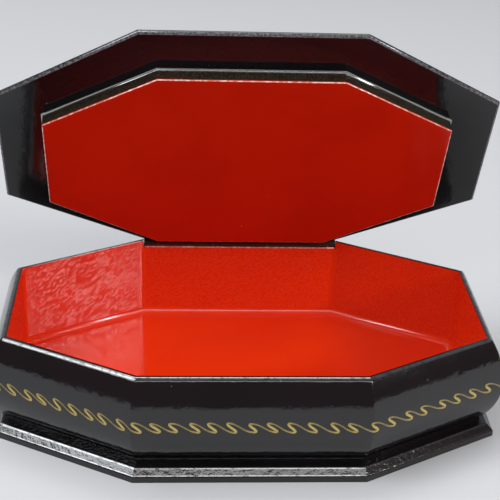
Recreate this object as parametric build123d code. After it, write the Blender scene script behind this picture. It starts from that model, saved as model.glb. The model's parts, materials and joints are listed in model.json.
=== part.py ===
from build123d import *
import os
from math import atan2, degrees, hypot

# Elongated octagonal lacquer box of papier-mache, with a hinged lid.
# Millimetres. X runs along the box, Y from front to back, Z up.
# The origin is the middle of the plinth's underside.

# mouth of the box: the inner outline of the rim
mouth_length = 100.0
mouth_depth = 59.2
mouth_long_side = 46.0
mouth_end_side = 29.8

# inside
inner_depth = 19.6
lining_thickness = 0.4

# side wall
rim_thickness = 0.9
rim_lip_height = 0.2
belly_swell = 3.3
belly_drop = 10.5
foot_draw_in = 2.8
neck_draw_in = 0.8
neck_height = 1.1
arris_round = 1.0
rim_round = 1.4

# plinth and bottom board
plinth_height = 2.8
plinth_overhang = 2.9
plinth_bevel = 1.5
plinth_round = 0.55
bottom_board_thickness = 1.6
bottom_board_rebate = 1.0
board_fit = 0.05

# lid
lid_gap = 0.15
lid_front_overhang = 3.8
lid_end_overhang = 4.0
lid_long_side_extra = 1.0
lid_end_side_extra = 1.0
lid_back_side_cut = 1.6
lid_back_overhang = 0.6
lid_edge_thickness = 1.1
lid_crown_height = 1.5
lid_crown_width = 7.0
lid_round = 0.45
lid_lower_round = 0.5

# raised step inside the lid, and its red facing
step_height = 3.25
step_end_inset = 6.0
step_front_inset = 5.9
step_back_inset = 2.1
step_long_side_less = 6.8
step_end_side_less = 5.6
step_facing_thickness = 0.4
step_round = 0.3

# hinge
knuckle_radius = 0.85
pin_radius = 0.4
pin_clearance = 0.03
hinge_set_back = 0.7
hinge_end_gap = 0.1
end_knuckle_length = 3.4
knuckle_gap = 0.15
knuckle_clearance = 0.15
middle_knuckles = 3
leaf_thickness = 0.5
wall_leaf_depth = 4.0
lid_leaf_width = 3.4
leaf_fit = 0.05

# brads
brad_shank_radius = 0.3
brad_head_radius = 0.6
brad_head_thickness = 0.25
brad_fit = 0.02
brad_tip_cover = 0.1
wall_brad_length = 2.2
lid_brad_length = 1.3
brad_pitch = 12.5
brad_count = 4

# how far the lid stands open
open_angle = 67.0

# levels
bottom_board_top = plinth_height - bottom_board_rebate + bottom_board_thickness
floor_level = bottom_board_top + lining_thickness
rim_level = floor_level + inner_depth
belly_level = rim_level - belly_drop
foot_level = plinth_height + neck_height + neck_draw_in
lid_level = rim_level + lid_gap

# hinge axis: the knuckles' tops are level with the rim
hinge_y = mouth_depth / 2 + hinge_set_back
hinge_z = rim_level - knuckle_radius
hinge_length = mouth_long_side - 2 * hinge_end_gap
notch_level = hinge_z - knuckle_radius - knuckle_clearance
step_face_level = lid_level - step_height

# how far each outline stands outside the mouth
belly_reach = rim_thickness + belly_swell
foot_reach = belly_reach - foot_draw_in
neck_reach = foot_reach - neck_draw_in
plinth_reach = neck_reach + plinth_overhang


def octagon(length, front, back, long_side, back_side, end_side, middle=0.0):
    # middle is where the end sides are centred, from front to back
    points = [
        (-long_side / 2, -front),
        (long_side / 2, -front),
        (length / 2, middle - end_side / 2),
        (length / 2, middle + end_side / 2),
        (back_side / 2, back),
        (-back_side / 2, back),
        (-length / 2, middle + end_side / 2),
        (-length / 2, middle - end_side / 2),
    ]
    return make_face(Polyline(*points, close=True))


def mouth_outline(outside=0.0):
    half_depth = mouth_depth / 2
    face = octagon(mouth_length, half_depth, half_depth, mouth_long_side, mouth_long_side, mouth_end_side)
    if outside == 0.0:
        return face
    return offset(face, outside, kind=Kind.INTERSECTION)


def slab(face, bottom, top):
    return extrude(Pos(0, 0, bottom) * face, top - bottom)


def block(x_span, y_span, z_span):
    size = [span[1] - span[0] for span in (x_span, y_span, z_span)]
    centre = [(span[1] + span[0]) / 2 for span in (x_span, y_span, z_span)]
    return Pos(*centre) * Box(*size)


def rod(radius, x_start, x_end, y, z):
    return Pos((x_start + x_end) / 2, y, z) * Rot(Y=90) * Cylinder(radius, x_end - x_start)


def mouth_sides():
    # direction and distance of each pair of opposite sides
    run = (mouth_length - mouth_long_side) / 2
    rise = (mouth_depth - mouth_end_side) / 2
    corner_x = mouth_long_side / 2
    corner_y = mouth_depth / 2
    slant = degrees(atan2(run, rise))
    slant_reach = (corner_x * rise + corner_y * run) / hypot(run, rise)
    return [(90.0, mouth_depth / 2), (0.0, mouth_length / 2), (slant, slant_reach), (-slant, slant_reach)]


def casing_section(reach):
    # half of the section across the box, from the neck up over the belly to the rim
    neck = reach + neck_reach
    foot = reach + foot_reach
    belly = reach + belly_reach
    rim = reach + rim_thickness
    neck_level = plinth_height + neck_height
    lower = Polyline((0, rim_level), (0, plinth_height), (neck, plinth_height), (neck, neck_level), (foot, foot_level))
    under_belly = TangentArc((belly, belly_level), (foot, foot_level), tangent=(0, -1))
    over_belly = TangentArc((belly, belly_level), (rim, rim_level), tangent=(0, 1))
    top = Line((rim, rim_level), (0, rim_level))
    half = make_face([*lower.edges(), under_belly, over_belly, top])
    return half + mirror(half, Plane.YZ)


def casing():
    # the four pairs of sides meet in mitred corners
    solid = None
    for angle, reach in mouth_sides():
        across = Vector(1, 0, 0).rotate(Axis.Z, angle)
        along = across.cross(Vector(0, 0, 1))
        section = Plane(origin=(0, 0, 0), x_dir=across, z_dir=along) * casing_section(reach)
        prism = extrude(section, mouth_length, both=True)
        solid = prism if solid is None else solid & prism
    return solid


def knuckle_spans():
    # end knuckles are short, those between them share the rest of the length
    gaps = middle_knuckles + 1
    middle = (hinge_length - 2 * end_knuckle_length - gaps * knuckle_gap) / middle_knuckles
    spans = []
    start = -hinge_length / 2
    for number in range(middle_knuckles + 2):
        length = end_knuckle_length if number in (0, middle_knuckles + 1) else middle
        spans.append((start, start + length))
        start += length + knuckle_gap
    return spans


def wall_knuckles():
    return knuckle_spans()[0::2]


def lid_knuckles():
    return knuckle_spans()[1::2]


def brad_places():
    first = -(brad_count - 1) / 2 * brad_pitch
    return [first + number * brad_pitch for number in range(brad_count)]


def brad(length, fit=0.0):
    # stands on its head at the origin, point up
    head = extrude(Circle(brad_head_radius + fit), brad_head_thickness + fit)
    shank = extrude(Circle(brad_shank_radius + fit), length + fit)
    return head + shank


def hinge_notch():
    # room for the knuckles, cut through rim and lining along the back side
    half = mouth_long_side / 2
    return block((-half, half), (hinge_y - 1.5 * knuckle_radius, hinge_y + belly_reach), (notch_level, rim_level + 1))


def wall_leaf_plate(fit=0.0):
    half = hinge_length / 2 + fit
    front = hinge_y - leaf_thickness / 5 - fit
    back = front + leaf_thickness + 2 * fit
    return block((-half, half), (front, back), (notch_level - wall_leaf_depth - fit, notch_level))


def wall_brads(fit=0.0):
    level = notch_level - wall_leaf_depth / 2
    back = mouth_depth / 2 + lining_thickness + brad_tip_cover + wall_brad_length
    return [Pos(x, back, level) * Rot(X=90) * brad(wall_brad_length, fit) for x in brad_places()]


def lid_leaf_plate(fit=0.0):
    half = hinge_length / 2 + fit
    return block((-half, half), (hinge_y - lid_leaf_width - fit, hinge_y + fit), (lid_level, lid_level + leaf_thickness))


def lid_brads(fit=0.0):
    y = hinge_y - lid_leaf_width * 0.6
    return [Pos(x, y, lid_level) * brad(lid_brad_length, fit) for x in brad_places()]


def plinth():
    outline = mouth_outline(plinth_reach)
    board = slab(outline, 0, plinth_height)
    board = chamfer(board.faces().sort_by(Axis.Z)[-1].edges(), plinth_bevel)
    level_edges = board.edges().filter_by(Plane.XY)
    outer = level_edges.filter_by(lambda edge: edge.center().Z > plinth_round)
    board = fillet(outer, plinth_round)
    seat = mouth_outline(lining_thickness + board_fit)
    return board - slab(seat, plinth_height - bottom_board_rebate, plinth_height + 1)


def bottom_board():
    return slab(mouth_outline(lining_thickness), plinth_height - bottom_board_rebate, bottom_board_top)


def side_wall():
    solid = casing()
    arrises = solid.edges().filter_by(lambda edge: edge.bounding_box().size.Z > arris_round * 2)
    solid = fillet(arrises, arris_round)
    rim_edges = solid.faces().sort_by(Axis.Z)[-1].edges()
    solid = fillet(rim_edges, rim_round)
    solid -= slab(mouth_outline(lining_thickness), 0, rim_level - rim_lip_height)
    solid -= slab(mouth_outline(), 0, rim_level + 1)
    solid -= hinge_notch()
    solid -= wall_leaf_plate(leaf_fit)
    for nail in wall_brads(brad_fit):
        solid -= nail
    return solid


def wall_lining():
    outer = slab(mouth_outline(lining_thickness), bottom_board_top, rim_level - rim_lip_height)
    return outer - slab(mouth_outline(), 0, rim_level) - hinge_notch()


def floor_lining():
    return slab(mouth_outline(), bottom_board_top, floor_level)


def hinge_wall_leaf():
    solid = wall_leaf_plate()
    front = hinge_y - leaf_thickness / 5
    for start, end in wall_knuckles():
        solid += rod(knuckle_radius, start, end, hinge_y, hinge_z)
        solid += block((start, end), (front, front + leaf_thickness), (notch_level - 1, hinge_z))
    solid -= rod(pin_radius + pin_clearance, -hinge_length, hinge_length, hinge_y, hinge_z)
    for nail in wall_brads(brad_fit):
        solid -= nail
    return solid


def hinge_pin():
    return rod(pin_radius, -hinge_length / 2, hinge_length / 2, hinge_y, hinge_z)


def hinge_lid_leaf():
    solid = lid_leaf_plate()
    for start, end in lid_knuckles():
        solid += rod(knuckle_radius, start, end, hinge_y, hinge_z)
        web = block((start, end), (hinge_y - knuckle_radius, hinge_y), (hinge_z, lid_level + leaf_thickness))
        solid += web
    solid -= rod(pin_radius + pin_clearance, -hinge_length, hinge_length, hinge_y, hinge_z)
    for nail in lid_brads(brad_fit):
        solid -= nail
    return solid


def lid_outline():
    front = mouth_depth / 2 + lid_front_overhang
    back = hinge_y + lid_back_overhang
    length = mouth_length + 2 * lid_end_overhang
    long_side = mouth_long_side + lid_long_side_extra
    back_side = mouth_long_side - lid_back_side_cut
    return octagon(length, front, back, long_side, back_side, mouth_end_side + lid_end_side_extra)


def lid_board():
    outline = lid_outline()
    edge_top = lid_level + lid_edge_thickness
    top_face = offset(outline, -lid_crown_width, kind=Kind.INTERSECTION)
    crown = loft([Pos(0, 0, edge_top) * outline, Pos(0, 0, edge_top + lid_crown_height) * top_face], ruled=True)
    solid = slab(outline, lid_level, edge_top) + crown
    rounded = solid.edges().filter_by(lambda edge: edge.center().Z > edge_top - 0.01)
    solid = fillet(rounded, lid_round)
    lower = solid.faces().sort_by(Axis.Z)[0].edges().filter_by(lambda edge: edge.center().Y < hinge_y)
    solid = fillet(lower, lid_lower_round)
    solid -= lid_leaf_plate(leaf_fit)
    for nail in lid_brads(brad_fit):
        solid -= nail
    return solid


def step_outline():
    front = mouth_depth / 2 - step_front_inset
    back = mouth_depth / 2 - step_back_inset
    long_side = mouth_long_side - step_long_side_less
    end_side = mouth_end_side - step_end_side_less
    length = mouth_length - 2 * step_end_inset
    return octagon(length, front, back, long_side, long_side, end_side, (back - front) / 2)


def lid_step():
    return slab(step_outline(), step_face_level + step_facing_thickness, lid_level)


def lid_facing():
    solid = slab(step_outline(), step_face_level, step_face_level + step_facing_thickness)
    return fillet(solid.faces().sort_by(Axis.Z)[0].edges(), step_round)


def opened(shape):
    # turns a piece of the closed lid about the hinge axis
    return Pos(0, hinge_y, hinge_z) * Rot(X=-open_angle) * Pos(0, -hinge_y, -hinge_z) * shape


box_pieces = {
    "plinth": plinth(),
    "bottom_board": bottom_board(),
    "side_wall": side_wall(),
    "wall_lining": wall_lining(),
    "floor_lining": floor_lining(),
    "hinge_wall_leaf": hinge_wall_leaf(),
    "hinge_wall_brads": Compound(wall_brads()),
    "hinge_pin": hinge_pin(),
}
lid_pieces = {
    "lid_board": lid_board(),
    "lid_step": lid_step(),
    "lid_facing": lid_facing(),
    "hinge_lid_leaf": hinge_lid_leaf(),
    "hinge_lid_brads": Compound(lid_brads()),
}

os.makedirs("parts", exist_ok=True)
for name, shape in box_pieces.items():
    export_step(shape, f"parts/{name}.step")
for name, shape in lid_pieces.items():
    export_step(opened(shape), f"parts/{name}.step")
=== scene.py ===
# Octagonal papier-mache lacquer box: finishes, painted wave, lacquer beads, studio and camera.
import bpy
import bmesh
import json
import math
from mathutils import Matrix, Vector
from mathutils.bvhtree import BVHTree


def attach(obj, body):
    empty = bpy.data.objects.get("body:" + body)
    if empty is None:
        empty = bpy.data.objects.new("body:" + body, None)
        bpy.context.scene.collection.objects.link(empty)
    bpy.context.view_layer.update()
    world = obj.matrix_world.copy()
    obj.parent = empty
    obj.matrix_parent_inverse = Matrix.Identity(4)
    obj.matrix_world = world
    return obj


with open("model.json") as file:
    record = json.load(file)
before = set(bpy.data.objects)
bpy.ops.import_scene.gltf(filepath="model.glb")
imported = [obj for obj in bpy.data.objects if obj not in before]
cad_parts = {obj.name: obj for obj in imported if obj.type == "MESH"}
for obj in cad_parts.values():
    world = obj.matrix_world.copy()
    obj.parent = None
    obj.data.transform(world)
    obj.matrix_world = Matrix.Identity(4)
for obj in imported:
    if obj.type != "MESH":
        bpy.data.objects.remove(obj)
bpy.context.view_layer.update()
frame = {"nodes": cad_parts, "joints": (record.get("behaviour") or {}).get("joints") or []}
nodes = frame["nodes"]
mm = 0.001
print("frame loaded:", len(nodes), "pieces")

# sizes of the box in millimetres, as in the frame
boxSize = {
    "mouth length": 100.0, "mouth depth": 59.2, "long side": 46.0, "end side": 29.8,
    "belly": 4.2, "rim level": 23.4, "floor level": 3.8,
}


# small helpers for node trees

def addNode(tree, kind, place=(0, 0), **values):
    node = tree.nodes.new(kind)
    node.location = place
    for name, value in values.items():
        setattr(node, name, value)
    return node


def feed(tree, value, socket):
    # a number goes on the socket, an output is linked to it, and None leaves it alone
    if value is None:
        return
    if isinstance(value, (int, float, tuple)):
        socket.default_value = value
    else:
        tree.links.new(value, socket)


def mathNode(tree, operation, a, b=None, c=None, clamp=False):
    node = addNode(tree, "ShaderNodeMath", operation=operation, use_clamp=clamp)
    for value, socket in zip((a, b, c), node.inputs):
        feed(tree, value, socket)
    return node.outputs[0]


def rangeNode(tree, value, low, high, outLow=0.0, outHigh=1.0):
    node = addNode(tree, "ShaderNodeMapRange", interpolation_type="SMOOTHSTEP")
    for item, socket in zip((value, low, high, outLow, outHigh), node.inputs):
        feed(tree, item, socket)
    return node.outputs[0]


def mixColour(tree, mask, first, second):
    node = addNode(tree, "ShaderNodeMix", data_type="RGBA")
    for value, socket in ((mask, node.inputs[0]), (first, node.inputs[6]), (second, node.inputs[7])):
        feed(tree, value, socket)
    return node.outputs[2]


def noise(tree, place, scale, detail=2.0, rough=0.5):
    node = addNode(tree, "ShaderNodeTexNoise")
    feed(tree, place, node.inputs["Vector"])
    feed(tree, scale, node.inputs["Scale"])
    node.inputs["Detail"].default_value = detail
    node.inputs["Roughness"].default_value = rough
    return node.outputs["Fac"]


def newGroup(name, inputs, outputs):
    tree = bpy.data.node_groups.new(name, "ShaderNodeTree")
    kinds = {"v": "NodeSocketVector", "c": "NodeSocketColor", "f": "NodeSocketFloat"}
    for label, kind, value in inputs:
        socket = tree.interface.new_socket(label, in_out="INPUT", socket_type=kinds[kind])
        if value is not None:
            socket.default_value = value
    for label, kind in outputs:
        tree.interface.new_socket(label, in_out="OUTPUT", socket_type=kinds[kind])
    put = addNode(tree, "NodeGroupInput", (-1400, 0)).outputs
    out = addNode(tree, "NodeGroupOutput", (900, 0)).inputs
    return tree, put, out


# one lacquer effect for every coated surface: clouds in the rubbed coats, dust specks, orange peel and sags
skinPattern = {
    "cloud scale": 45.0, "cloud from": 0.35, "cloud to": 0.7,
    "speck scale": 560.0, "speck from": 0.95, "speck least": 0.035, "speck spread": 0.06, "speck core": 0.6,
    "speck height": 0.3, "speck rough": 0.3,
    "grain finer": 3.2, "sag scale": 110.0,
    "tint from": 0.42, "tint to": 0.62, "matt from": 0.44, "matt to": 0.53,
}


def lacquerGroup(pattern):
    tree, put, out = newGroup("lacquerSkin", [
        ("Place", "v", None),
        ("Colour", "c", (0.01, 0.01, 0.01, 1)),
        ("Cloud Colour", "c", (0.02, 0.02, 0.02, 1)),
        ("Speck Colour", "c", (0.4, 0.4, 0.4, 1)),
        ("Gloss", "f", 0.08), ("Haze", "f", 0.06), ("Peel Size", "f", 1.2), ("Peel", "f", 0.3),
        ("Grain", "f", 0.0), ("Sag", "f", 0.3), ("Specks", "f", 0.5), ("Tint", "f", 0.0), ("Matt", "f", 0.0),
    ], [("Colour", "c"), ("Roughness", "f"), ("Height", "f")])
    clouds = noise(tree, put["Place"], pattern["cloud scale"], 3.0)
    cloudMask = rangeNode(tree, clouds, pattern["cloud from"], pattern["cloud to"])

    speck = addNode(tree, "ShaderNodeTexVoronoi")  # dust caught in the coat
    speck.inputs["Scale"].default_value = pattern["speck scale"]
    feed(tree, put["Place"], speck.inputs["Vector"])
    pick = addNode(tree, "ShaderNodeSeparateColor")
    feed(tree, speck.outputs["Color"], pick.inputs[0])
    chosen = mathNode(tree, "GREATER_THAN", pick.outputs[0], pattern["speck from"])
    size = mathNode(tree, "MULTIPLY_ADD", pick.outputs[1], pattern["speck spread"], pattern["speck least"])
    core = mathNode(tree, "MULTIPLY", size, pattern["speck core"])
    inside = rangeNode(tree, speck.outputs["Distance"], core, size, 1.0, 0.0)
    speckMask = mathNode(tree, "MULTIPLY", mathNode(tree, "MULTIPLY", chosen, inside), put["Specks"])

    peelScale = mathNode(tree, "DIVIDE", 1000.0, put["Peel Size"])  # the peel's size is in millimetres
    peel = noise(tree, put["Place"], peelScale, 1.5)
    grain = noise(tree, put["Place"], mathNode(tree, "MULTIPLY", peelScale, pattern["grain finer"]), 1.0)
    sag = noise(tree, put["Place"], pattern["sag scale"], 1.0)
    height = mathNode(tree, "MULTIPLY", peel, put["Peel"])
    height = mathNode(tree, "MULTIPLY_ADD", grain, put["Grain"], height)
    height = mathNode(tree, "MULTIPLY_ADD", sag, put["Sag"], height)
    height = mathNode(tree, "MULTIPLY_ADD", speckMask, pattern["speck height"], height)

    body = mixColour(tree, cloudMask, put["Colour"], put["Cloud Colour"])
    # the tint shows the speck colour where the peel is low: grain on the lid's step, painted highlight on
    # the pale red edges and the step's bead, painted glints on the lid's edge
    thin = rangeNode(tree, peel, pattern["tint from"], pattern["tint to"])
    shown = mathNode(tree, "MAXIMUM", speckMask, mathNode(tree, "MULTIPLY", thin, put["Tint"]))
    feed(tree, mixColour(tree, shown, body, put["Speck Colour"]), out["Colour"])
    matt = rangeNode(tree, peel, pattern["matt from"], pattern["matt to"])
    rough = mathNode(tree, "MULTIPLY_ADD", cloudMask, put["Haze"], put["Gloss"])
    rough = mathNode(tree, "MULTIPLY_ADD", matt, put["Matt"], rough)
    rough = mathNode(tree, "MULTIPLY_ADD", speckMask, pattern["speck rough"], rough, clamp=True)
    feed(tree, rough, out["Roughness"])
    feed(tree, height, out["Height"])
    return tree


lacquerSkin = lacquerGroup(skinPattern)


def startMaterial(name):
    material = bpy.data.materials.new(name)
    material.use_nodes = True
    tree = material.node_tree
    place = addNode(tree, "ShaderNodeTexCoord", (-900, 0)).outputs["Object"]
    return material, tree, tree.nodes["Principled BSDF"], place


def addBump(tree, shader, height, depth):
    bump = addNode(tree, "ShaderNodeBump", (-250, -250))
    bump.inputs["Distance"].default_value = depth * mm
    feed(tree, height, bump.inputs["Height"])
    feed(tree, bump.outputs["Normal"], shader.inputs["Normal"])


def brushStrokes(tree, place, look):
    # draws the pattern out along the brush strokes
    brushed = addNode(tree, "ShaderNodeMapping", (-750, 0), vector_type="TEXTURE")
    brushed.inputs["Rotation"].default_value = [math.radians(angle) for angle in look["turn"]]
    brushed.inputs["Scale"].default_value = look["stretch"]
    feed(tree, place, brushed.inputs["Vector"])
    return brushed.outputs["Vector"]


def polishEdges(tree, shader, place, look):
    # a clear coat on the edges rubbed bright by use, a band of heights each
    level = addNode(tree, "ShaderNodeSeparateXYZ", (-600, -300))
    feed(tree, place, level.inputs[0])
    patchy = noise(tree, place, look["patch scale"])
    least = look["patch least"] * look["weight"]
    worn = rangeNode(tree, patchy, look["patch from"], look["patch to"], least, look["weight"])
    mask = 0.0
    for start, full, end, clear in look["bands"]:
        above = rangeNode(tree, level.outputs["Z"], start * mm, full * mm, 0.0, worn)
        below = rangeNode(tree, level.outputs["Z"], end * mm, clear * mm, 1.0, 0.0)
        mask = mathNode(tree, "MULTIPLY_ADD", above, below, mask)
    feed(tree, mask, shader.inputs["Coat Weight"])
    shader.inputs["Coat IOR"].default_value = look["ior"]
    shader.inputs["Coat Roughness"].default_value = look["rough"]


def lacquer(name, look):
    material, tree, shader, place = startMaterial(name)
    skin = addNode(tree, "ShaderNodeGroup", (-600, 0), node_tree=lacquerSkin)
    if "brushed" in look:
        place = brushStrokes(tree, place, look["brushed"])
    feed(tree, place, skin.inputs["Place"])
    for key, value in look["skin"].items():
        skin.inputs[key].default_value = value
    feed(tree, skin.outputs["Colour"], shader.inputs["Base Color"])
    feed(tree, skin.outputs["Roughness"], shader.inputs["Roughness"])
    addBump(tree, shader, skin.outputs["Height"], look["depth"])
    shader.inputs["IOR"].default_value = look["ior"]
    if "polish" in look:
        polishEdges(tree, shader, place, look["polish"])
    return material


blackSkin = {
    "Colour": (0.004, 0.004, 0.0045, 1), "Cloud Colour": (0.006, 0.005, 0.006, 1),
    "Speck Colour": (0.35, 0.34, 0.33, 1), "Gloss": 0.08, "Haze": 0.06,
    "Peel Size": 1.5, "Peel": 1.5, "Grain": 0.15, "Sag": 3.4, "Specks": 0.6,
}
redSkin = {
    "Colour": (0.73, 0.031, 0.002, 1), "Cloud Colour": (0.67, 0.024, 0.002, 1),
    "Speck Colour": (0.95, 0.5, 0.35, 1), "Gloss": 0.04, "Haze": 0.02,
    "Peel Size": 0.7, "Peel": 0.6, "Grain": 0.3, "Sag": 0.5, "Specks": 0.35,
}
# each band holds the heights, in millimetres, of clear, full, full and clear again
edgePolish = {"patch scale": 900.0, "patch from": 0.35, "patch to": 0.5, "patch least": 0.3, "rough": 0.06}
rimPolish = {**edgePolish, "bands": ((22.98, 23.12, 23.36, 23.395),), "weight": 0.9, "ior": 2.0}
arrisPolish = {
    **edgePolish, "bands": ((1.38, 1.42, 1.56, 1.64), (2.44, 2.52, 2.66, 2.70)), "weight": 0.8, "ior": 2.1,
}
lacquerLooks = {
    "blackLacquer": {"skin": blackSkin, "depth": 0.03, "ior": 1.6, "polish": rimPolish},
    "blackLid": {"skin": {**blackSkin, "Peel": 0.7}, "depth": 0.03, "ior": 1.5},
    "blackBoard": {
        "skin": {**blackSkin, "Peel Size": 0.9, "Peel": 1.9, "Grain": 0.5, "Sag": 1.6, "Gloss": 0.1},
        "depth": 0.03, "ior": 1.65, "polish": arrisPolish,
    },
    "blackStep": {
        "skin": {
            **blackSkin, "Colour": (0.010, 0.009, 0.005, 1), "Cloud Colour": (0.022, 0.011, 0.008, 1),
            "Speck Colour": (0.075, 0.062, 0.04, 1),
            "Peel Size": 0.34, "Peel": 2.0, "Grain": 0.8, "Tint": 0.35,
        },
        "depth": 0.03, "ior": 1.6,
    },
    # the lid's edge: worn, lighter black, with pale specks that are painted glints
    "wornEdgeAndPaintedGlints": {
        "skin": {
            **blackSkin, "Colour": (0.022, 0.020, 0.023, 1), "Cloud Colour": (0.04, 0.037, 0.043, 1),
            "Speck Colour": (0.40, 0.39, 0.42, 1), "Gloss": 0.15, "Peel Size": 0.5, "Tint": 0.25,
        },
        "depth": 0.03, "ior": 1.7,
    },
    # grey lighter than the black and pale specks: painted highlight along the step's joint
    "blackBeadPaintedHighlight": {
        "skin": {
            **blackSkin, "Colour": (0.03, 0.03, 0.028, 1), "Speck Colour": (0.6, 0.62, 0.58, 1),
            "Gloss": 0.05, "Haze": 0.03, "Peel Size": 0.8, "Peel": 0.15, "Grain": 0.0, "Sag": 0.5,
            "Tint": 0.06,
        },
        "depth": 0.03, "ior": 3.4,
    },
    "redWalls": {
        "skin": {
            **redSkin, "Peel Size": 0.42, "Peel": 1.5, "Grain": 0.6, "Sag": 1.8, "Haze": 0.03, "Matt": 0.36,
        },
        "depth": 0.03, "ior": 1.62, "brushed": {"turn": (0, -25, 28), "stretch": (3.0, 1, 1)},
    },
    "redFloor": {
        "skin": {**redSkin, "Peel Size": 0.4, "Matt": 0.12},
        "depth": 0.03, "ior": 1.5, "brushed": {"turn": (0, 0, 28), "stretch": (2.6, 1, 1)},
    },
    "redBead": {
        "skin": {**redSkin, "Gloss": 0.2, "Haze": 0.03, "Peel": 0.35, "Grain": 0.0, "Sag": 0.6},
        "depth": 0.03, "ior": 1.8,
    },
    # pale red painted highlight: the bright line along the facing's edge and along the lining's edge under
    # the knuckles
    "paintedHighlightRed": {
        "skin": {
            **redSkin, "Colour": (0.70, 0.12, 0.07, 1), "Cloud Colour": (0.80, 0.30, 0.22, 1),
            "Speck Colour": (0.9, 0.70, 0.62, 1), "Peel Size": 0.9, "Tint": 0.9,
        },
        "depth": 0.03, "ior": 1.8,
    },
    # a darker red than the walls: painted shade on the facing, which faces down and away from the lamps
    "redFacingPaintedShade": {
        "skin": {
            **redSkin, "Colour": (0.47, 0.010, 0.001, 1), "Cloud Colour": (0.42, 0.008, 0.001, 1),
            "Gloss": 0.12, "Specks": 0.6,
        },
        "depth": 0.03, "ior": 1.45,
    },
}
coats = {name: lacquer(name, look) for name, look in lacquerLooks.items()}


def metal(name, look):
    material, tree, shader, place = startMaterial(name)
    grain = noise(tree, place, look["grain"], 3.0)
    rough = mathNode(tree, "MULTIPLY_ADD", grain, look["spread"], look["rough"])
    feed(tree, mixColour(tree, grain, look["dark"], look["light"]), shader.inputs["Base Color"])
    feed(tree, rough, shader.inputs["Roughness"])
    addBump(tree, shader, grain, look["depth"])
    shader.inputs["Metallic"].default_value = look["metal"]
    return material


metalLooks = {
    "blackenedMetal": {
        "dark": (0.006, 0.005, 0.005, 1), "light": (0.05, 0.03, 0.02, 1),
        "grain": 1500.0, "rough": 0.2, "spread": 0.3, "depth": 0.05, "metal": 0.2,
    },
    "brassNail": {
        "dark": (0.35, 0.24, 0.08, 1), "light": (0.6, 0.45, 0.18, 1),
        "grain": 900.0, "rough": 0.3, "spread": 0.2, "depth": 0.01, "metal": 1.0,
    },
    "pinWire": {
        "dark": (0.06, 0.06, 0.055, 1), "light": (0.2, 0.2, 0.19, 1),
        "grain": 1200.0, "rough": 0.25, "spread": 0.2, "depth": 0.01, "metal": 1.0,
    },
}
metals = {name: metal(name, look) for name, look in metalLooks.items()}

finishes = {
    "plinth": coats["blackBoard"],
    "bottom_board": coats["blackLacquer"],
    "side_wall": coats["blackLacquer"],
    "wall_lining": coats["redWalls"],
    "floor_lining": coats["redFloor"],
    "lid_board": coats["blackLid"],
    "lid_step": coats["blackStep"],
    "lid_facing": coats["redFacingPaintedShade"],
    "hinge_wall_leaf": metals["blackenedMetal"],
    "hinge_lid_leaf": metals["blackenedMetal"],
    "hinge_wall_brads": metals["brassNail"],
    "hinge_lid_brads": metals["brassNail"],
    "hinge_pin": metals["pinWire"],
}
for name, material in finishes.items():
    nodes[name].data.materials.clear()
    nodes[name].data.materials.append(material)
print("finishes placed")


def addPiece(name, bm, material, body):
    mesh = bpy.data.meshes.new(name)
    bm.to_mesh(mesh)
    bm.free()
    mesh.materials.append(material)
    piece = bpy.data.objects.new(name, mesh)
    bpy.context.scene.collection.objects.link(piece)
    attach(piece, body)
    return piece


def octagonCorners(outside):
    # corners of the mouth's outline moved outwards, counter-clockwise seen from above
    run = (boxSize["mouth length"] - boxSize["long side"]) / 2
    rise = (boxSize["mouth depth"] - boxSize["end side"]) / 2
    slant = math.hypot(run, rise)
    x = boxSize["mouth length"] / 2 + outside
    y = boxSize["mouth depth"] / 2 + outside
    nearX = boxSize["long side"] / 2 + outside * (slant - run) / rise
    nearY = boxSize["end side"] / 2 + outside * (slant - rise) / run
    half = [Vector((nearX, -y)), Vector((x, -nearY)), Vector((x, nearY)), Vector((nearX, y))]
    return half + [-corner for corner in half]


def lidCorners(size, outside=0.0):
    # corners of one of the lid's outlines, in the closed lid's place
    x = size["length"] / 2 + outside
    near = size["middle"] - size["end side"] / 2
    far = size["middle"] + size["end side"] / 2
    front = -size["front"] - outside
    back = size["back"] + outside
    places = [(size["long side"] / 2, front), (x, near), (x, far), (size["back side"] / 2, back)]
    return [Vector(p) for p in places] + [Vector((-p[0], p[1])) for p in reversed(places)]


# lacquer that pooled in the corners of the lining and round the lid's step and dried as a rounded bead, a
# lacquer edge under the knuckles, and the edges of the facing and of the lid;
# the pale red of the facing's edge and of the edge under the knuckles is painted highlight, as are the step
# bead's grey and the pale specks on the lid's worn edge
beadLook = {
    "floor joint": {"radius": 1.4, "segments": 12, "upright": 5.6, "spread": 0.85, "faces": 1},
    "corner": {"reach": 0.8, "segments": 8, "top": 21.4},
    "step joint": {"radius": 0.4, "segments": 4, "upright": -1.4, "spread": 1.15, "faces": -1},
    "facing edge": {"radius": 0.17, "segments": 4, "upright": 0.6, "spread": 0.9, "faces": -1},
    "lid edge": {"radius": 0.5, "segments": 5, "upright": 1.1, "spread": 0.9, "faces": -1, "lift": 0.01},
    "hinge edge": {
        "radius": 0.19, "uneven": 0.35, "lumps": 26, "side": 29.72, "level": 21.58, "inset": 0.3,
        "long pace": 0.7, "short pace": 2.3,
    },
}
stepSize = {
    "length": 88.0, "front": 23.7, "back": 27.5, "long side": 39.2, "back side": 39.2, "end side": 24.2,
    "middle": 1.9, "root": 23.55, "face": 20.3,
}
lidSize = {
    "length": 108.0, "front": 33.4, "back": 30.9, "long side": 47.0, "back side": 44.4, "end side": 30.8,
    "middle": 0.0,
}


def newVerts(made):
    return [item for item in made if isinstance(item, bmesh.types.BMVert)]


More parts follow.
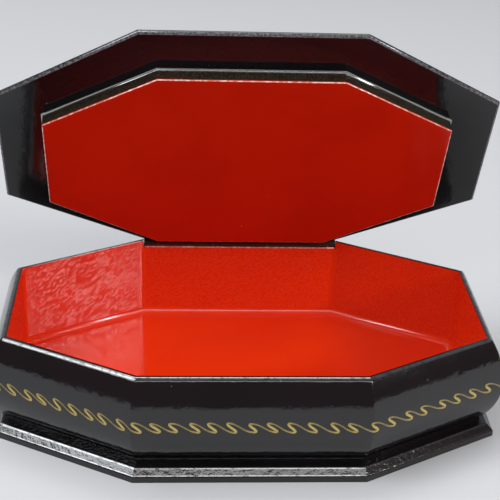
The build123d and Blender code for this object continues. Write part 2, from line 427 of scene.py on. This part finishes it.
def rounded(bm, edges, reach, segments):
    # rounds the edges and keeps only the round faces
    bmesh.ops.recalc_face_normals(bm, faces=bm.faces)
    kept = set(bmesh.ops.bevel(
        bm, geom=edges, offset=reach, offset_type="OFFSET", segments=segments, profile=0.5, affect="EDGES",
        material=-1, clamp_overlap=False,
    )["faces"])
    bmesh.ops.delete(bm, geom=[face for face in bm.faces if face not in kept], context="FACES")
    for face in bm.faces:
        face.smooth = True


def ringWalls(corners, level, upright):
    bm = bmesh.new()
    ring = [bm.verts.new((c.x, c.y, level)) for c in corners]
    edges = [bm.edges.new((ring[i - 1], ring[i])) for i in range(len(ring))]
    made = bmesh.ops.extrude_edge_only(bm, edges=edges)["geom"]
    bmesh.ops.translate(bm, verts=newVerts(made), vec=(0, 0, upright))
    return bm, edges


def ringBead(corners, level, look):
    # a round strip where a flat face meets the upright sides
    bm, edges = ringWalls(corners, level, look["upright"])
    flat = bmesh.ops.extrude_edge_only(bm, edges=edges)["geom"]
    bmesh.ops.scale(bm, verts=newVerts(flat), vec=(look["spread"], look["spread"], 1))
    rounded(bm, edges, look["radius"], look["segments"])
    if sum(face.normal.z * face.calc_area() for face in bm.faces) * look["faces"] < 0:
        bmesh.ops.reverse_faces(bm, faces=bm.faces)
    bmesh.ops.scale(bm, verts=bm.verts, vec=(mm, mm, mm))
    return bm


def cornerBeads(corners, level, look):
    # round strips up the corners between the sides of the lining
    bm = ringWalls(corners, level, look["top"] - level)[0]
    uprights = [edge for edge in bm.edges if abs(edge.verts[0].co.z - edge.verts[1].co.z) > 1]
    rounded(bm, uprights, look["reach"], look["segments"])
    if sum(face.normal.dot(face.calc_center_median()) for face in bm.faces) > 0:
        bmesh.ops.reverse_faces(bm, faces=bm.faces)
    bmesh.ops.scale(bm, verts=bm.verts, vec=(mm, mm, mm))
    return bm


def hingeEdge(look):
    # uneven lacquer along the lining's edge under the knuckles
    bm = bmesh.new()
    circle = bmesh.ops.create_circle(bm, cap_ends=True, segments=8, radius=look["radius"] * mm)["verts"]
    half = boxSize["long side"] / 2 - look["inset"]
    end = Matrix.Translation((-half * mm, look["side"] * mm, look["level"] * mm))
    bmesh.ops.transform(bm, matrix=end @ Matrix.Rotation(math.pi / 2, 4, "Y"), verts=circle)
    face = list(bm.faces)
    step = 2 * half / look["lumps"]
    for number in range(look["lumps"]):
        made = bmesh.ops.extrude_face_region(bm, geom=face)["geom"]
        verts = newVerts(made)
        face = [item for item in made if isinstance(item, bmesh.types.BMFace)]
        bmesh.ops.translate(bm, verts=verts, vec=(step * mm, 0, 0))
        centre = sum((vert.co for vert in verts), Vector()) / len(verts)
        sway = math.sin(number * look["short pace"]) * math.sin(number * look["long pace"] + 1)
        swell = 1 + look["uneven"] * sway
        size = swell * look["radius"] * mm / (verts[0].co - centre).length
        bmesh.ops.scale(bm, verts=verts, vec=(1, size, size), space=Matrix.Translation(-centre))
    bmesh.ops.recalc_face_normals(bm, faces=bm.faces)
    for face in bm.faces:
        face.smooth = True
    return bm


hinge = next(joint for joint in frame["joints"] if joint["name"] == "lid_hinge")
openAngle = -math.radians(hinge["range_deg"][0])
hingeSpot = Matrix.Translation(Vector(hinge["pos_m"]))
openLid = hingeSpot @ Matrix.Rotation(-openAngle, 4, "X") @ hingeSpot.inverted()

mouth = octagonCorners(0.0)
floorLevel = boxSize["floor level"]
floorMesh = ringBead(mouth, floorLevel, beadLook["floor joint"])
cornerMesh = cornerBeads(mouth, floorLevel, beadLook["corner"])
hingeMesh = hingeEdge(beadLook["hinge edge"])
stepMesh = ringBead(lidCorners(stepSize), stepSize["root"], beadLook["step joint"])
facingMesh = ringBead(lidCorners(stepSize), stepSize["face"], beadLook["facing edge"])
edgeLift = beadLook["lid edge"]["lift"]
edgeMesh = ringBead(lidCorners(lidSize, edgeLift), stepSize["root"] - edgeLift, beadLook["lid edge"])
for lidMesh in (stepMesh, facingMesh, edgeMesh):
    bmesh.ops.transform(lidMesh, matrix=openLid, verts=lidMesh.verts)
beads = (
    addPiece("floor_bead", floorMesh, coats["redBead"], "box"),
    addPiece("corner_beads", cornerMesh, coats["redBead"], "box"),
    addPiece("hinge_edge", hingeMesh, coats["paintedHighlightRed"], "box"),
    addPiece("step_bead", stepMesh, coats["blackBeadPaintedHighlight"], "lid"),
    addPiece("facing_edge", facingMesh, coats["paintedHighlightRed"], "lid"),
    addPiece("lid_edge", edgeMesh, coats["wornEdgeAndPaintedGlints"], "lid"),
)
print("beads:", [len(piece.data.polygons) for piece in beads], "faces")


# gold running wave painted round the belly, in millimetres, with the hand's unevenness in shares of a wave
waveLook = {
    "pitch": 3.92, "height": 2.05, "lean": 0.36, "hook": 0.07, "below rim": 9.5, "start": 0.9,
    "uneven": 0.05, "step paces": (23, 41), "height paces": (31, 17), "drift": 0.49, "drift from": 0.5,
    "width": 0.42, "swell": 0.24, "heavy at": 0.70, "lift": 0.02, "strokes": 36,
}
goldLook = {
    "thin": (0.24, 0.19, 0.07, 1), "full": (0.55, 0.43, 0.13, 1), "patchy": 0.9,
    "grain": 1400.0, "rough": 0.3, "spread": 0.2, "depth": 0.015, "metal": 0.5,
}


def goldPaint(look):
    # fuller and brighter where the brush left more paint
    material, tree, shader, place = startMaterial("goldPaint")
    load = addNode(tree, "ShaderNodeAttribute", attribute_name="load").outputs["Fac"]
    grain = noise(tree, place, look["grain"], 2.0)
    patches = mathNode(tree, "SUBTRACT", grain, 0.5)
    mask = mathNode(tree, "MULTIPLY_ADD", patches, look["patchy"], load, clamp=True)
    rough = mathNode(tree, "MULTIPLY_ADD", grain, look["spread"], look["rough"])
    feed(tree, mixColour(tree, mask, look["thin"], look["full"]), shader.inputs["Base Color"])
    feed(tree, rough, shader.inputs["Roughness"])
    addBump(tree, shader, grain, look["depth"])
    shader.inputs["Metallic"].default_value = look["metal"]
    return material


def wavePath(look):
    corners = octagonCorners(boxSize["belly"])
    ends = [(start, corners[(i + 1) % len(corners)]) for i, start in enumerate(corners)]
    sides = [(start, end, (end - start).length) for start, end in ends]
    around = sum(side[2] for side in sides)
    wall = nodes["side_wall"].data
    spots = [vertex.co.copy() for vertex in wall.vertices]
    tree = BVHTree.FromPolygons(spots, [tuple(face.vertices) for face in wall.polygons])
    clearance = 10.0  # from which the wall is looked for, outside the belly

    def onWall(along, level):
        along %= around
        for start, end, length in sides:
            if along <= length:
                spot = start.lerp(end, along / length)
                outward = Vector(((end - start).y, -(end - start).x)).normalized()
                far = (spot + outward * clearance) * mm
                inward = Vector((-outward.x, -outward.y, 0))
                hit, normal, _, _ = tree.ray_cast(Vector((far.x, far.y, level * mm)), inward)
                return hit, normal
            along -= length

    count = round(around / look["pitch"])
    pitch = around / count
    middle = boxSize["rim level"] - look["below rim"]
    stepPaces = look["step paces"]
    tallPaces = look["height paces"]
    path = []
    for number in range(count * look["strokes"]):
        turn = number / look["strokes"]
        angle = 2 * math.pi * turn
        step = turn + look["lean"] * (1 - math.cos(angle)) + look["hook"] * math.sin(2 * angle)
        hand = 2 * math.pi * turn / count  # the hand's slow unevenness, which closes after one round
        shake = math.sin(hand * stepPaces[0]) + math.sin(hand * stepPaces[1] + 2)
        drift = look["drift"] * math.sin(2 * hand - look["drift from"])
        step += look["uneven"] * shake + drift
        shake = math.sin(hand * tallPaces[0] + 1) + math.sin(hand * tallPaces[1])
        tall = look["height"] / 2 * (1 + look["uneven"] * shake)
        hit, normal = onWall(pitch * step + look["start"], middle + tall * math.cos(angle))
        load = 0.5 + 0.5 * math.cos(angle - 2 * math.pi * look["heavy at"])
        path.append((hit, normal, load))
    return path, count


def buildWave(path, look):
    bm = bmesh.new()
    loadLayer = bm.verts.layers.float.new("load")
    lower = [bm.verts.new(point) for point, _, _ in path]
    chain = [bm.edges.new((lower[i - 1], lower[i])) for i in range(len(lower))]
    bmesh.ops.extrude_edge_only(bm, edges=chain)
    started = set(lower)
    partner = {}
    for edge in bm.edges:
        ends = [vert in started for vert in edge.verts]
        if ends[0] != ends[1]:
            first, second = edge.verts if ends[0] else reversed(edge.verts)
            partner[first] = second
    for i, vertex in enumerate(lower):
        point, normal, load = path[i]
        width = look["width"] * (1 + look["swell"] * (2 * load - 1)) * mm
        ahead = path[(i + 1) % len(path)][0] - path[i - 1][0]
        across = normal.cross(ahead).normalized() * width / 2
        base = point + normal * look["lift"] * mm
        partner[vertex].co = base + across
        vertex.co = base - across
        vertex[loadLayer] = partner[vertex][loadLayer] = load
    bmesh.ops.recalc_face_normals(bm, faces=bm.faces)
    return bm


path, waveCount = wavePath(waveLook)
goldWave = addPiece("gold_wave", buildWave(path, waveLook), goldPaint(goldLook), "box")
print("gold wave:", waveCount, "waves,", len(goldWave.data.polygons), "faces")

# studio: pale floor, high and low windows, lights in front, behind and overhead, and a dim room
studio = {"floor": (0.545, 0.555, 0.567, 1), "half width": 3.0, "rough": 0.9, "specular": 0.1}
lamps = {
    "leftWindow": {
        "azimuth": -71, "elevation": 53, "away": 0.8, "size": (0.34, 0.43), "power": 3.4,
        "colour": (0.94, 0.97, 1.0),
    },
    "rightWindow": {
        "azimuth": 53, "elevation": 30, "away": 0.9, "size": (0.15, 0.20), "power": 3.7,
        "colour": (1.0, 0.99, 0.97),
    },
    "frontLight": {
        "azimuth": 10, "elevation": 48.6, "away": 0.9, "size": (1.1, 0.11), "power": 1.75,
        "colour": (1.0, 0.99, 0.98),
    },
    "backLight": {
        "azimuth": -110, "elevation": 58, "away": 0.9, "size": (0.28, 0.25), "power": 0.9,
        "colour": (0.92, 0.95, 1.0),
    },
    "topLight": {
        "azimuth": 180, "elevation": 70, "away": 0.9, "size": (0.60, 0.28), "power": 2.3,
        "colour": (1.0, 1.0, 1.0),
    },
}
room = {
    "dim": (0.15, 0.095, 0.095, 1), "soft": (0.34, 0.35, 0.37, 1),
    "dim to": 0.55, "soft from": 0.75, "behind from": 0.15, "behind to": 0.6,
}


def addFloor():
    mesh = bpy.data.meshes.new("floor")
    bm = bmesh.new()
    bmesh.ops.create_grid(bm, x_segments=1, y_segments=1, size=studio["half width"])
    bm.to_mesh(mesh)
    bm.free()
    floor = bpy.data.objects.new("floor", mesh)
    bpy.context.scene.collection.objects.link(floor)
    material = bpy.data.materials.new("paleFloor")
    material.use_nodes = True
    shader = material.node_tree.nodes["Principled BSDF"]
    shader.inputs["Base Color"].default_value = studio["floor"]
    shader.inputs["Roughness"].default_value = studio["rough"]
    shader.inputs["Specular IOR Level"].default_value = studio["specular"]
    mesh.materials.append(material)


def compass(azimuth, elevation):
    # azimuth from the front, positive to the right
    flat = math.cos(math.radians(elevation))
    turn = math.radians(azimuth)
    return Vector((math.sin(turn) * flat, -math.cos(turn) * flat, math.sin(math.radians(elevation))))


def addLamps():
    for name, look in lamps.items():
        data = bpy.data.lights.new(name, "AREA")
        data.shape = "RECTANGLE"
        data.size, data.size_y = look["size"]
        data.energy = look["power"]
        data.color = look["colour"]
        lamp = bpy.data.objects.new(name, data)
        bpy.context.scene.collection.objects.link(lamp)
        way = compass(look["azimuth"], look["elevation"])
        lamp.location = way * look["away"]
        lamp.rotation_euler = (-way).to_track_quat("-Z", "Y").to_euler()


def addRoom():
    # dim and warm low down in front and at the sides, soft above and behind
    world = bpy.data.worlds.new("room")
    bpy.context.scene.world = world
    world.use_nodes = True
    tree = world.node_tree
    place = addNode(tree, "ShaderNodeTexCoord").outputs["Generated"]
    way = addNode(tree, "ShaderNodeSeparateXYZ")
    feed(tree, place, way.inputs[0])
    high = rangeNode(tree, way.outputs["Z"], room["dim to"], room["soft from"])
    behind = rangeNode(tree, way.outputs["Y"], room["behind from"], room["behind to"])
    soft = mathNode(tree, "MAXIMUM", high, behind)
    feed(tree, mixColour(tree, soft, room["dim"], room["soft"]), tree.nodes["Background"].inputs["Color"])


addFloor()
addLamps()
addRoom()
print("studio set")

# camera at the photograph's view, with its focal length in pixels of a frame this wide
cameraLook = {
    "azimuth": -4.02, "elevation": 27.08, "roll": 2.29, "distance": 265.4, "aim": (0.39, 0.0, 36.1),
    "focal": 1243.3, "frame": 500, "sensor": 36, "nearest": 0.01,
}


def addCamera():
    back = compass(cameraLook["azimuth"], cameraLook["elevation"])
    roll = math.radians(cameraLook["roll"])
    right = (-back).cross(Vector((0, 0, 1))).normalized()
    up = right.cross(-back)
    across = math.cos(roll) * right + math.sin(roll) * up
    upward = -math.sin(roll) * right + math.cos(roll) * up
    data = bpy.data.cameras.new("camera")
    data.sensor_width = cameraLook["sensor"]
    data.lens = cameraLook["sensor"] * cameraLook["focal"] / cameraLook["frame"]
    data.clip_start = cameraLook["nearest"]
    camera = bpy.data.objects.new("camera", data)
    bpy.context.scene.collection.objects.link(camera)
    spot = (Vector(cameraLook["aim"]) + back * cameraLook["distance"]) * mm
    camera.matrix_world = Matrix.Translation(spot) @ Matrix((across, upward, back)).transposed().to_4x4()
    bpy.context.scene.camera = camera


addCamera()
bpy.context.scene.view_settings.view_transform = "Standard"
